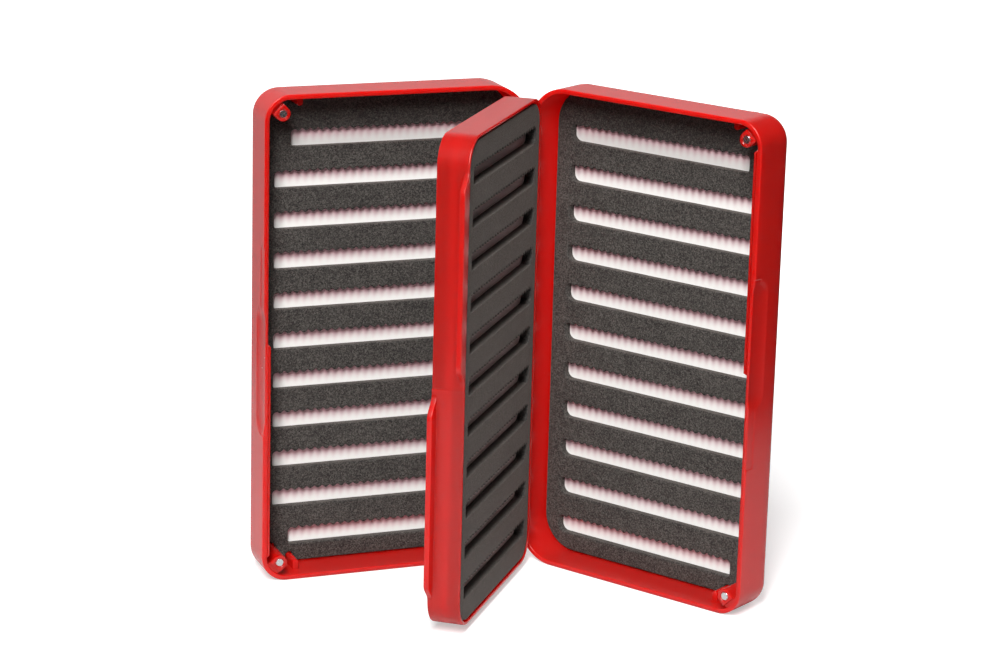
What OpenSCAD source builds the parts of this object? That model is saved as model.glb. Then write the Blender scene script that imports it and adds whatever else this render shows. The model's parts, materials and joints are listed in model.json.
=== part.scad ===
// Swing-leaf fly box: two shallow shells and a middle leaf on one hinge line,
// standing open on their short ends. The left shell lies along -X with its
// opening towards -Y. Slotted foam lines both shells and both faces of the leaf.

/* [Shells] */
// Height of the box as it stands, which is its length when it lies flat
box_height = 190; // [160:1:220]
// Width of one shell, from the hinge line to its free edge
shell_width = 105; // [90:1:125]
// Depth of one shell, from the rim to its back
shell_depth = 20.5; // [18:0.5:26]
// Radius of the two corners at the free edge, seen from the front
corner_radius = 10; // [8:0.5:14]
// Radius of the two corners at the hinge
hinge_corner_radius = 16; // [10:0.5:20]
// Radius between the walls and the back
back_radius = 5; // [3:0.5:7]
// Thickness of the walls
wall = 1.8; // [1.4:0.1:2.2]
// Thickness of the back
back_wall = 1.9; // [1.5:0.1:2.6]
// Radius inside, where the walls meet the back
inner_radius = 0.8; // [0.5:0.1:1.2]
// Gap from each rim to the plane where the two rims would meet
rim_gap = 0.1; // [0.05:0.05:0.3]

/* [Opening] */
// Angle from the left shell to the leaf
leaf_angle = 52.2; // [5:0.1:85]
// Angle from the leaf to the right shell
right_angle = 69; // [31:0.1:90]

/* [Hinge] */
// Radius of the steel pins
pin_radius = 1; // [0.75:0.05:1.25]
// Clearance between a pin and its bores
pin_clearance = 0.03; // [0.02:0.01:0.08]
// Thickness of plastic round a pin
knuckle_wall = 1.5; // [1.2:0.1:2]
// Length of one knuckle
knuckle_length = 8; // [6:0.5:12]
// Gap between neighbouring knuckles
knuckle_gap = 0.3; // [0.2:0.05:0.6]
// Clearance round the knuckles of the other pieces
relief_clearance = 0.35; // [0.25:0.05:0.6]
// Distance from each end of the box to the middle of its hinge
hinge_inset = 42; // [32:1:60]

/* [Magnets] */
// Radius of a magnet
magnet_radius = 1.5; // [1:0.1:2]
// Length of a magnet
magnet_length = 2; // [1:0.5:5]
// Clearance round a magnet
magnet_clearance = 0.03; // [0.02:0.01:0.08]
// Thickness of plastic round a magnet
boss_wall = 1.3; // [1:0.1:1.6]
// Distance from the free face and from the end face to the axis of a magnet
magnet_inset = 7.2; // [7:0.1:7.6]
// Depth of the cap of a boss below the rim plane
boss_drop = 0.5; // [0.3:0.1:1]
// Depth of the face of a magnet below the cap of its boss
magnet_drop = 0.3; // [0.1:0.1:0.6]
// Width of the chamfer at the mouth of a magnet's pocket
pocket_chamfer = 0.4; // [0.2:0.1:0.6]
// Distance from the axis of a magnet to the flat edge of the cap
cap_flat = 2.6; // [2:0.1:3]
// Height of the cap over the shoulder behind its flat edge
cap_step = 1; // [0.5:0.1:2]

/* [Stop ribs] */
// Distance from the free face to the middle of a rib
rib_inset = 15.4; // [14:0.1:20]
// Thickness of a rib
rib_thickness = 2.4; // [1.6:0.1:3]
// Reach of a rib from the end wall
rib_reach = 3.8; // [3:0.1:5]
// Clearance from a rib to the closed leaf
rib_clearance = 0.3; // [0.2:0.05:0.6]

/* [Thumb scoop] */
// Length of the scoop
scoop_length = 49.5; // [30:0.5:60]
// Distance from the rim plane to the middle of the scoop
scoop_centre = 3.4; // [2:0.1:6]
// Half the width of the scoop
scoop_half = 6; // [3:0.1:8]
// Depth of the scoop
scoop_depth = 0.9; // [0.4:0.1:1.1]
// Height of the middle of the scoop over the middle of the box
scoop_offset = 11.2; // [0:0.1:20]
// Length of the shallow relief that runs through the scoop, on both sides of the middle
relief_length = 73.4; // [50:0.2:90]
// Width of the shallow relief, from the rim
relief_reach = 4.4; // [1:0.1:6]
// Depth of the shallow relief
relief_depth = 0.25; // [0.1:0.05:0.5]

/* [Rim lip] */
// Thickness of the lip that keys into the other shell
lip_thickness = 0.65; // [0.5:0.05:0.9]
// Height of the lip over the rim
lip_height = 0.9; // [0.5:0.1:1.5]
// Clearance between the lip and the wall of the other shell
lip_clearance = 0.15; // [0.1:0.05:0.3]
// Depth to which the lip is carried down the wall
lip_root = 6; // [2:0.5:12]

/* [Shell foam] */
// Thickness of the foam in the shells
foam_thickness = 3; // [2:0.1:5]
// Gap round the foam
foam_gap = 0.3; // [0.25:0.05:0.6]
// Thickness of the white liners
liner_thickness = 0.5; // [0.3:0.1:1]
// Number of slots in each foam
slot_count = 11; // [5:1:13]
// Height of a slot
slot_height = 6.6; // [4:0.1:8]
// Height of the lowest slot in the shells
slot_bottom = 8.8; // [8:0.1:12]
// Distance from the top of the box to the highest slot in the shells
slot_top_margin = 16.8; // [14:0.1:24]
// Distance from the hinge line to the slots
slot_hinge_margin = 9; // [7:0.1:20]
// Distance from the free face to the long slots
slot_free_margin = 8.4; // [6:0.1:12]
// Distance from the free face to the first and the last slot
slot_short_margin = 14.8; // [14.6:0.1:22]
// Radius of the slot's lower corner at the hinge
slot_hinge_radius = 2.8; // [1:0.1:3]
// Radius of the slot's other corners
slot_radius = 0.9; // [0.3:0.1:1.5]
// Length of one tooth along the upper edge of a slot
tooth_pitch = 3.16; // [2:0.02:5]
// Depth of the teeth
tooth_depth = 0.9; // [0.3:0.1:1.5]

/* [Leaf] */
// Thickness of the leaf
leaf_thickness = 12.4; // [11:0.1:13.4]
// Distance from the hinge line to the leaf
leaf_hinge_margin = 5; // [4.5:0.1:6]
// Distance from the free face of the shells to the edge of the leaf
leaf_free_margin = 8.7; // [8.6:0.1:12]
// Clearance between the ends of the leaf and the closed shells
leaf_end_clearance = 0.9; // [0.5:0.1:1.5]
// Radius of the leaf's free corners
leaf_radius = 11.5; // [11:0.5:16]
// Radius of the leaf's corners at the hinge
leaf_hinge_radius = 10; // [9.5:0.5:14]
// Thickness of the rim round each foam of the leaf
leaf_rim = 1.1; // [0.8:0.1:1.6]
// Thickness of the foam on the leaf
leaf_foam_thickness = 4; // [2:0.1:4.6]
// Depth of the leaf's foam below its rim
leaf_foam_drop = 0.3; // [0:0.1:0.6]
// Distance from each end of the box to the first and last slot in the leaf
leaf_slot_end_margin = 13.7; // [10:0.1:20]
// Distance from the edge of the leaf to its slots, on both sides
leaf_slot_margin = 6.5; // [5:0.1:12]
// Thickness of the arms between the leaf and its knuckles
arm_thickness = 3; // [2:0.1:3.4]
// Draft of the leaf's free edge
edge_draft = 0.5; // [0.1:0.1:1]

/* [Finger tabs] */
// Reach of a tab past the leaf's free edge
tab_reach = 5; // [3:0.1:5.3]
// Thickness of a tab
tab_thickness = 2; // [1.2:0.1:3]
// Distance from the middle of the leaf to the near end of a tab
tab_start = 2.4; // [1:0.1:10]
// Distance from the end of the box to the far end of a tab
tab_end_margin = 14; // [13.5:0.1:60]
// Length of the curve at each end of a tab
tab_ease = 7.5; // [4:0.5:15]
// Depth to which a tab is rooted in the leaf
tab_root = 0.8; // [0.5:0.1:1]

/* [Hidden] */

plastic = [0.80, 0.11, 0.09];
foam_grey = [0.27, 0.26, 0.25];
liner_white = [0.95, 0.93, 0.92];
steel = [0.78, 0.79, 0.80];

$fn = 64;
overlap = 1;            // how far a cut runs past the face it opens
curve_steps = 12;       // points along the curve at each end of a tab
arc_steps = 6;          // points along each rounded corner of a slot

right_turn = leaf_angle + right_angle - 180;
leaf_turn = leaf_angle - 180;

// The box stands at the middle of its bounding box
max_x = (shell_width - back_radius) * cos(right_turn)
    + (shell_depth - back_radius) * -sin(right_turn) + back_radius;
min_y = shell_width * sin(right_turn) + rim_gap * cos(right_turn);
centre_x = (max_x - shell_width) / 2;
centre_y = (shell_depth + min_y) / 2;

floor_depth = shell_depth - back_wall;
foam_back = floor_depth - liner_thickness;
foam_face = foam_back - foam_thickness;
boss_radius = magnet_radius + boss_wall;
knuckle_radius = pin_radius + knuckle_wall;
knuckle_step = knuckle_length + knuckle_gap;
hinge_length = 3 * knuckle_step - knuckle_gap;
leaf_free = shell_width - leaf_free_margin;
leaf_low = wall + leaf_end_clearance;
leaf_high = box_height - leaf_low;
leaf_pocket = leaf_foam_thickness + leaf_foam_drop + liner_thickness;
rib_depth = leaf_thickness / 2 + rib_clearance;
slot_pitch = (box_height - slot_bottom - slot_top_margin - slot_height) / (slot_count - 1);
leaf_slot_pitch = (box_height - 2 * leaf_slot_end_margin - slot_height) / (slot_count - 1);
tab_length = box_height / 2 - tab_start - tab_end_margin;
corner_reach = corner_radius - wall / 2 - (corner_radius - magnet_inset) * sqrt(2);
scoop_radius = (pow(scoop_half, 2) + pow(scoop_depth, 2)) / (2 * scoop_depth);

// How far the rounded inside corner reaches in at the back of the foam
fillet_reach = liner_thickness < inner_radius
    ? inner_radius - sqrt(pow(inner_radius, 2) - pow(inner_radius - liner_thickness, 2)) : 0;
foam_inset = wall + fillet_reach + foam_gap;
liner_inset = wall + inner_radius + foam_gap / 2;

// Local frame of the pieces: x from the hinge line to the free edge, y from
// the rim plane to the back, z up.
module as_right() {
    translate([-centre_x, -centre_y, 0]) rotate([0, 0, right_turn]) children();
}

// The left shell is the same moulding, turned end over end
module as_left() {
    translate([-centre_x, -centre_y, box_height]) rotate([0, 180, 0]) children();
}

// The left foam is the right one's mirror image, with its teeth still on top
module as_left_upright() {
    translate([-centre_x, -centre_y, 0]) mirror([1, 0, 0]) children();
}

module as_leaf() {
    translate([-centre_x, -centre_y, 0]) rotate([0, 0, leaf_turn]) children();
}

// Section of a tray with its back edges rounded, as wide as width
module tray_section(width, depth, radius) {
    square([width, depth - radius]);
    translate([radius, 0]) square([width - 2 * radius, depth]);
    for (x = [radius, width - radius]) translate([x, depth - radius]) circle(radius);
}

// Section of one corner of a tray, to be turned about the corner's axis
module corner_section(corner, depth, radius) {
    square([corner, depth - radius]);
    square([corner - radius, depth]);
    intersection() {
        translate([corner - radius, depth - radius]) circle(radius);
        square([corner, depth]);
    }
}

// A solid tray block from y = 0 to y = depth, with its back edges rounded
module tray(width, height, depth, hinge_corner, corner, radius) {
    translate([0, 0, hinge_corner]) linear_extrude(height - 2 * hinge_corner)
        tray_section(width, depth, radius);
    translate([width - 2 * corner, 0, corner]) linear_extrude(height - 2 * corner)
        tray_section(2 * corner, depth, radius);
    translate([hinge_corner, 0, height]) rotate([0, 90, 0])
        linear_extrude(width - hinge_corner - corner) tray_section(height, depth, radius);
    for (z = [hinge_corner, height - hinge_corner])
        translate([hinge_corner, 0, z]) rotate([-90, 0, 0]) rotate_extrude()
            corner_section(hinge_corner, depth, radius);
    for (z = [corner, height - corner])
        translate([width - corner, 0, z]) rotate([-90, 0, 0]) rotate_extrude()
            corner_section(corner, depth, radius);
}

// Stands a drawing in the x-z plane and gives it thickness from y0 to y1
module upright(y0, y1) {
    translate([0, y1, 0]) rotate([90, 0, 0]) linear_extrude(y1 - y0) children();
}

// Outline with one radius at the hinge and another at the free edge
module outline(x0, x1, z0, z1, r_hinge, r_free) {
    translate([x0, z0 + r_hinge]) square([r_hinge + overlap, z1 - z0 - 2 * r_hinge]);
    translate([x1 - r_free - overlap, z0 + r_free])
        square([r_free + overlap, z1 - z0 - 2 * r_free]);
    translate([x0 + r_hinge, z0]) square([x1 - x0 - r_hinge - r_free, z1 - z0]);
    for (z = [z0 + r_hinge, z1 - r_hinge]) translate([x0 + r_hinge, z]) circle(r_hinge);
    for (z = [z0 + r_free, z1 - r_free]) translate([x1 - r_free, z]) circle(r_free);
}

// Height of the first face of a knuckle, counted from 0 to 2 up a hinge
function knuckle_z(middle, k) = middle - hinge_length / 2 + k * knuckle_step;

module knuckle(middle, k) {
    translate([0, 0, knuckle_z(middle, k)]) cylinder(r = knuckle_radius, h = knuckle_length);
}

// Room for a knuckle of another piece
module knuckle_relief(middle, k) {
    translate([0, 0, knuckle_z(middle, k) - knuckle_gap])
        cylinder(r = knuckle_radius + relief_clearance, h = knuckle_length + 2 * knuckle_gap);
}

module pin_bore(middle) {
    translate([0, 0, knuckle_z(middle, 0) - knuckle_gap])
        cylinder(r = pin_radius + pin_clearance, h = hinge_length + 2 * knuckle_gap);
}

module pin(middle) {
    translate([0, 0, knuckle_z(middle, 0)]) cylinder(r = pin_radius, h = hinge_length);
}

// Repeats a drawing at both magnets, with its x axis towards the corner
module at_magnets() {
    translate([shell_width - magnet_inset, magnet_inset]) rotate(-45) children();
    translate([shell_width - magnet_inset, box_height - magnet_inset]) rotate(45) children();
}

// A boss seen from the front: a round nose with two straight flanks
module boss_outline(radius, reach) {
    circle(radius);
    translate([0, -radius]) square([reach, 2 * radius]);
}

// A rib seen from the front, standing on each end wall
module rib_outline(grow) {
    reach = wall + rib_reach - rib_thickness / 2;
    for (z = [reach, box_height - reach]) translate([shell_width - rib_inset, z])
        circle(rib_thickness / 2 + grow);
    for (z = [wall - boss_wall, box_height - reach])
        translate([shell_width - rib_inset - rib_thickness / 2 - grow, z])
            square([rib_thickness + 2 * grow, reach - wall + boss_wall]);
}

// A long body of revolution with round ends, that leaves a shallow groove in the free wall
module scoop() {
    run = scoop_length / 2 - scoop_half;
    translate([shell_width - scoop_depth + scoop_radius, scoop_centre,
        box_height / 2 + scoop_offset]) rotate_extrude() intersection() {
            union() {
                for (z = [-run, run]) translate([0, z]) circle(scoop_radius, $fn = 256);
                translate([0, -run]) square([scoop_radius, 2 * run]);
            }
            translate([0, -run - scoop_radius]) square([scoop_radius, 2 * (run + scoop_radius)]);
        }
}

module relief() {
    translate([shell_width - relief_depth, -overlap, (box_height - relief_length) / 2])
        cube([relief_depth + overlap, relief_reach + overlap, relief_length]);
}

module shell_block() {
    translate([0, rim_gap, 0]) tray(shell_width, box_height, shell_depth - rim_gap,
        hinge_corner_radius, corner_radius, back_radius);
}

// The lip keys into the other shell along the upper half of the free wall
module lip() {
    inner = shell_width - wall - lip_clearance - lip_thickness;
    low = box_height / 2 + lip_clearance;
    height = box_height / 2 - corner_radius - lip_clearance;
    translate([inner, -lip_height, low]) cube([lip_thickness, lip_height + lip_root, height]);
    translate([inner, rim_gap, low])
        cube([lip_thickness + lip_clearance + wall / 2, lip_root - rim_gap, height]);
}

module shell() {
    low = hinge_inset;
    high = box_height - hinge_inset;
    color(plastic) difference() {
        union() {
            difference() {
                shell_block();
                translate([wall, -overlap, wall])
                    tray(shell_width - 2 * wall, box_height - 2 * wall, floor_depth + overlap,
                        hinge_corner_radius - wall, corner_radius - wall, inner_radius);
            }
            intersection() {
                shell_block();
                union() {
                    upright(boss_drop + cap_step, floor_depth + overlap / 2)
                        at_magnets() boss_outline(boss_radius, corner_reach);
                    upright(boss_drop, boss_drop + cap_step)
                        at_magnets() boss_outline(boss_radius, cap_flat);
                    upright(rib_depth, floor_depth + overlap / 2) rib_outline(0);
                }
            }
            lip();
            knuckle(low, 0);
            knuckle(high, 0);
        }
        for (middle = [low, high], k = [1, 2]) knuckle_relief(middle, k);
        pin_bore(low);
        pin_bore(high);
        for (z = [magnet_inset, box_height - magnet_inset])
            translate([shell_width - magnet_inset, boss_drop, z]) rotate([-90, 0, 0]) {
                cylinder(r = magnet_radius + magnet_clearance, h = magnet_drop + magnet_length);
                translate([0, 0, -pocket_chamfer]) cylinder(
                    r1 = magnet_radius + magnet_clearance + 2 * pocket_chamfer,
                    r2 = magnet_radius + magnet_clearance, h = 2 * pocket_chamfer);
            }
        scoop();
        relief();
    }
}

function arc(x, z, r, a0, a1) = [for (i = [0:arc_steps])
    let (a = a0 + (a1 - a0) * i / arc_steps) [x + r * cos(a), z + r * sin(a)]];

// A slot from x0 to x1 above z0: straight below, toothed above, rounded corners
module slot(x0, x1, z0) {
    top = z0 + slot_height - tooth_depth / 2;
    teeth = floor((x1 - x0 - 2 * slot_radius) / tooth_pitch);
    start = (x0 + x1 + teeth * tooth_pitch) / 2;
    polygon(concat(
        arc(x0 + slot_hinge_radius, z0 + slot_hinge_radius, slot_hinge_radius, 180, 270),
        arc(x1 - slot_radius, z0 + slot_radius, slot_radius, 270, 360),
        arc(x1 - slot_radius, top - slot_radius, slot_radius, 0, 90),
        [for (i = [0:teeth - 1], half = [0, 1])
            [start - (i + half / 2 + 0.25) * tooth_pitch, top + half * tooth_depth]],
        arc(x0 + slot_radius, top - slot_radius, slot_radius, 90, 180)));
}

// Where the foam and the liner make room for the bosses and ribs
module corner_room() {
    at_magnets() boss_outline(boss_radius + foam_gap, corner_radius);
    rib_outline(foam_gap);
}

module shell_foam() {
    color(foam_grey) difference() {
        upright(foam_face, foam_back)
            outline(foam_inset, shell_width - foam_inset, foam_inset, box_height - foam_inset,
                hinge_corner_radius - foam_inset, corner_radius - foam_inset);
        upright(foam_face - overlap, foam_back + overlap) corner_room();
        upright(foam_face - overlap, foam_back + overlap) for (i = [0:slot_count - 1])
            slot(slot_hinge_margin, shell_width - (i == 0 || i == slot_count - 1
                ? slot_short_margin : slot_free_margin), slot_bottom + i * slot_pitch);
    }
}

module shell_liner() {
    color(liner_white) difference() {
        upright(foam_back, floor_depth)
            outline(liner_inset, shell_width - liner_inset, liner_inset, box_height - liner_inset,
                hinge_corner_radius - liner_inset, corner_radius - liner_inset);
        upright(foam_back - overlap, floor_depth + overlap) corner_room();
    }
}

module magnet(z) {
    color(steel) translate([shell_width - magnet_inset, boss_drop + magnet_drop, z])
        rotate([-90, 0, 0]) cylinder(r = magnet_radius, h = magnet_length);
}

// The leaf seen from the front, made smaller all round by inset
module leaf_outline(inset) {
    outline(leaf_hinge_margin + inset, leaf_free - inset, leaf_low + inset, leaf_high - inset,
        leaf_hinge_radius - inset, leaf_radius - inset);
}

// A tab swells out of the free edge and back again
module tab() {
    low = box_height / 2 + tab_start;
    upright(leaf_thickness / 2 - tab_thickness, leaf_thickness / 2) polygon(concat(
        [[leaf_free - tab_root - edge_draft, low]],
        [for (i = [0:curve_steps]) [leaf_free - edge_draft
            + (tab_reach + edge_draft) * (1 - cos(180 * i / curve_steps)) / 2,
            low + tab_ease * i / curve_steps]],
        [for (i = [curve_steps:-1:0]) [leaf_free - edge_draft
            + (tab_reach + edge_draft) * (1 - cos(180 * i / curve_steps)) / 2,
            low + tab_length - tab_ease * i / curve_steps]],
        [[leaf_free - tab_root - edge_draft, low + tab_length]]));
}

// Half of the leaf's free edge slopes back from the side with the tab
module draft_cut() {
    translate([0, 0, box_height / 2]) linear_extrude(box_height / 2) polygon([
        [leaf_free, leaf_thickness / 2],
        [leaf_free - edge_draft, -leaf_thickness / 2],
        [leaf_free - edge_draft, -leaf_thickness / 2 - overlap],
        [leaf_free + overlap, -leaf_thickness / 2 - overlap],
        [leaf_free + overlap, leaf_thickness / 2]]);
}

module leaf_pocket_cut() {
    upright(leaf_thickness / 2 - leaf_pocket, leaf_thickness / 2 + overlap) leaf_outline(leaf_rim);
}

// Turns a shape over to the leaf's other side
module other_side() {
    translate([0, 0, box_height]) rotate([180, 0, 0]) children();
}

module leaf() {
    arm = leaf_hinge_margin + leaf_rim;
    color(plastic) difference() {
        union() {
            difference() {
                upright(-leaf_thickness / 2, leaf_thickness / 2) leaf_outline(0);
                draft_cut();
                other_side() draft_cut();
                leaf_pocket_cut();
                other_side() leaf_pocket_cut();
            }
            tab();
            other_side() tab();
            for (middle = [hinge_inset, box_height - hinge_inset]) {
                knuckle(middle, 1);
                translate([0, -arm_thickness / 2, knuckle_z(middle, 1)])
                    cube([arm, arm_thickness, knuckle_length]);
            }
        }
        pin_bore(hinge_inset);
        pin_bore(box_height - hinge_inset);
    }
}

module leaf_foam() {
    back = leaf_thickness / 2 - leaf_foam_drop - leaf_foam_thickness;
    color(foam_grey) difference() {
        upright(back, back + leaf_foam_thickness) leaf_outline(leaf_rim + foam_gap);
        upright(back - overlap, back + leaf_foam_thickness + overlap)
            for (i = [0:slot_count - 1]) slot(leaf_hinge_margin + leaf_slot_margin,
                leaf_free - leaf_slot_margin, leaf_slot_end_margin + i * leaf_slot_pitch);
    }
}

module leaf_liner() {
    face = leaf_thickness / 2 - leaf_foam_drop - leaf_foam_thickness;
    color(liner_white) upright(face - liner_thickness, face) leaf_outline(leaf_rim + foam_gap);
}

as_left() shell();  // left_shell
as_left_upright() shell_foam();  // left_foam
as_left_upright() shell_liner();  // left_liner
as_left() magnet(magnet_inset);  // left_magnet_upper
as_left() magnet(box_height - magnet_inset);  // left_magnet_lower
as_leaf() leaf();  // leaf_frame
as_leaf() mirror([0, 1, 0]) leaf_foam();  // leaf_left_foam
as_leaf() leaf_foam();  // leaf_right_foam
as_leaf() mirror([0, 1, 0]) leaf_liner();  // leaf_left_liner
as_leaf() leaf_liner();  // leaf_right_liner
as_right() shell();  // right_shell
as_right() shell_foam();  // right_foam
as_right() shell_liner();  // right_liner
as_right() magnet(box_height - magnet_inset);  // right_magnet_upper
as_right() magnet(magnet_inset);  // right_magnet_lower
color(steel) as_right() pin(box_height - hinge_inset);  // hinge_pin_upper
color(steel) as_right() pin(hinge_inset);  // hinge_pin_lower
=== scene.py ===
import json
import math
import bpy
import bmesh
from mathutils import Matrix, Vector


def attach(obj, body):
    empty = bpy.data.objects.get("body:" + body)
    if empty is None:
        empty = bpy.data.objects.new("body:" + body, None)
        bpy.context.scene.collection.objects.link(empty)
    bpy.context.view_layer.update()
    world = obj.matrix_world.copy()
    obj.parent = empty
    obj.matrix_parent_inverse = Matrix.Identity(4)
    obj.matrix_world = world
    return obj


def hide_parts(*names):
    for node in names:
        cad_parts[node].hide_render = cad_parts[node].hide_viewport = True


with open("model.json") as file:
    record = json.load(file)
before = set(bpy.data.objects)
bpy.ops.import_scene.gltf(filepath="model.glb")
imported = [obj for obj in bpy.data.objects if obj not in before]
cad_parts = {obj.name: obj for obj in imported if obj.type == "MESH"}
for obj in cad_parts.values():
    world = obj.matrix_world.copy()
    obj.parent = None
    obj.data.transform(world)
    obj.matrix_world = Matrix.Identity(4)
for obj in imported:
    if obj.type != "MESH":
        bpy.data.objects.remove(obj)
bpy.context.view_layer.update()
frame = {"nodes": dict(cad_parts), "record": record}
joints = {j["name"]: j for j in frame["record"]["behaviour"]["joints"]}

# The open box. Sizes are in millimetres here; every piece is drawn in its own
# frame: u from the hinge line to the free edge, n from the rim plane to the
# back, z up. The places below carry that frame into the model's, in metres.
openBox = {
    "height": 190.0,
    "hinge": Vector(joints["leaf_hinge"]["pos_m"]).xy.to_3d(),
    "leafTurn": -joints["leaf_hinge"]["range_deg"][0] - 180,
    "rightTurn": -joints["leaf_hinge"]["range_deg"][0] - joints["right_hinge"]["range_deg"][0] - 180,
}
toMetres = Matrix.Scale(0.001, 4)


def turned(degrees):
    return Matrix.Translation(openBox["hinge"]) @ Matrix.Rotation(math.radians(degrees), 4, "Z") @ toMetres


def endOverEnd(place):
    # the same moulding, stood on its other end: u and z turn round, n stays
    flip = Matrix.Translation((0, 0, openBox["height"])) @ Matrix.Rotation(math.pi, 4, "Y")
    return place @ flip


places = {
    "rightShell": turned(openBox["rightTurn"]),
    "leftShell": endOverEnd(turned(0)),
    "leftUpright": turned(0) @ Matrix.Diagonal((-1, 1, 1, 1)),
    "leafRight": turned(openBox["leafTurn"]),
    "leafLeft": turned(openBox["leafTurn"]) @ Matrix.Diagonal((1, -1, 1, 1)),
}


# nodes, for materials and for Geometry Nodes


class Value:
    # wraps a node's output, so that sums on it add Math nodes
    def __init__(self, graph, socket):
        self.graph = graph
        self.socket = socket

    def math(self, operation, *others):
        return self.graph.node("ShaderNodeMath", {"operation": operation}, dict(enumerate((self,) + others)))

    def __add__(self, other):
        return self.math("ADD", other)

    def __sub__(self, other):
        return self.math("SUBTRACT", other)

    def __mul__(self, other):
        return self.math("MULTIPLY", other)

    def __truediv__(self, other):
        return self.math("DIVIDE", other)

    def __rsub__(self, other):
        return self.graph.node("ShaderNodeMath", {"operation": "SUBTRACT"}, {0: other, 1: self})

    __radd__ = __add__
    __rmul__ = __mul__


class Graph:
    # adds nodes to one tree
    def __init__(self, tree):
        self.tree = tree

    def node(self, kind, settings=None, sockets=None, out=0):
        made = self.tree.nodes.new(kind)
        for name, value in (settings or {}).items():
            if name == "stops":
                for stop, (at, colour) in zip(self.stops(made, len(value)), value):
                    stop.position = at
                    stop.color = (*colour, 1)
            else:
                setattr(made, name, value)
        for name, value in (sockets or {}).items():
            for item in value if isinstance(value, list) else [value]:
                if isinstance(item, Value):
                    self.tree.links.new(item.socket, made.inputs[name])
                else:
                    made.inputs[name].default_value = item
        return Value(self, made.outputs[out]) if made.outputs else made

    def stops(self, ramp, count):
        while len(ramp.color_ramp.elements) < count:
            ramp.color_ramp.elements.new(0.5)
        return ramp.color_ramp.elements

    def ramp(self, value, *stops):
        return self.node("ShaderNodeValToRGB", {"stops": stops}, {"Fac": value})

    def blend(self, factor, a, b):
        # a colour between a and b
        return self.node("ShaderNodeMix", {"data_type": "RGBA"}, {0: factor, 6: a, 7: b}, out=2)

    def noise(self, coords, scale, detail=2.0, roughness=0.5):
        sockets = {"Vector": coords, "Scale": scale, "Detail": detail, "Roughness": roughness}
        return self.node("ShaderNodeTexNoise", {}, sockets)


def material(name, build):
    made = bpy.data.materials.new(name)
    made.use_nodes = True
    graph = Graph(made.node_tree)
    made.node_tree.nodes.clear()
    coords = graph.node("ShaderNodeTexCoord", {}, {}, out=3)
    sockets = build(graph, coords)
    shader = graph.node("ShaderNodeBsdfPrincipled", {}, sockets)
    graph.node("ShaderNodeOutputMaterial", {}, {"Surface": shader})
    return made


def bump(graph, height, strength, distance):
    return graph.node("ShaderNodeBump", {}, {"Height": height, "Strength": strength, "Distance": distance})


def redPlastic(graph, coords):
    tint = graph.noise(coords, 35.0, 3.0)
    flow = graph.noise(coords, 260.0, 2.0)
    grain = graph.noise(coords, 2600.0, 2.0)
    speck = graph.node("ShaderNodeTexVoronoi", {}, {"Vector": coords, "Scale": 150.0}, out=0)
    chosen = graph.node("ShaderNodeTexVoronoi", {}, {"Vector": coords, "Scale": 150.0}, out=1)
    rare = graph.node("ShaderNodeSeparateColor", {}, {0: chosen}).math("GREATER_THAN", 0.972)
    dust = speck.math("LESS_THAN", 0.028) * rare
    red = graph.blend(tint, (0.560, 0.0100, 0.0075, 1), (0.585, 0.0115, 0.0085, 1))
    return {
        "Base Color": graph.blend(dust * 0.75, red, (0.86, 0.70, 0.68, 1)),
        "Roughness": flow * 0.06 + grain * 0.04 + dust * 0.3 + 0.20,
        "IOR": 1.46,
        "Subsurface Weight": 1.0,
        "Subsurface Radius": (1.0, 0.05, 0.04),
        "Subsurface Scale": 0.008,
        "Normal": bump(graph, flow * 0.6 + grain * 0.4, 0.06, 0.00005),
    }


def cellFoam(low, high, cell, depth):
    # closed-cell foam: every cell with a brightness of its own, over a slow mottle
    def build(graph, coords):
        def cells(scale, out):
            return graph.node("ShaderNodeTexVoronoi", {}, {"Vector": coords, "Scale": scale}, out=out)

        fine = graph.node("ShaderNodeSeparateColor", {}, {0: cells(cell, 1)})
        coarse = graph.node("ShaderNodeSeparateColor", {}, {0: cells(cell * 0.85, 1)})
        mottle = graph.noise(coords, cell * 0.04, 2.0)
        light = fine * 0.6 + coarse * 0.3 + mottle * 0.2 - 0.05
        return {
            "Base Color": graph.ramp(light, (0.10, low), (0.55, tuple((a + b) * 0.42 for a, b in zip(low, high))),
                                     (0.92, high)),
            "Roughness": fine * 0.2 + 0.72,
            "Specular IOR Level": 0.3,
            "Sheen Weight": 0.16,
            "Sheen Roughness": 0.45,
            "Sheen Tint": (1.0, 0.86, 0.76, 1),
            "Normal": bump(graph, cells(cell, 0) * 0.7 + fine * 0.3, depth, 0.0003),
        }
    return build


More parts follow.
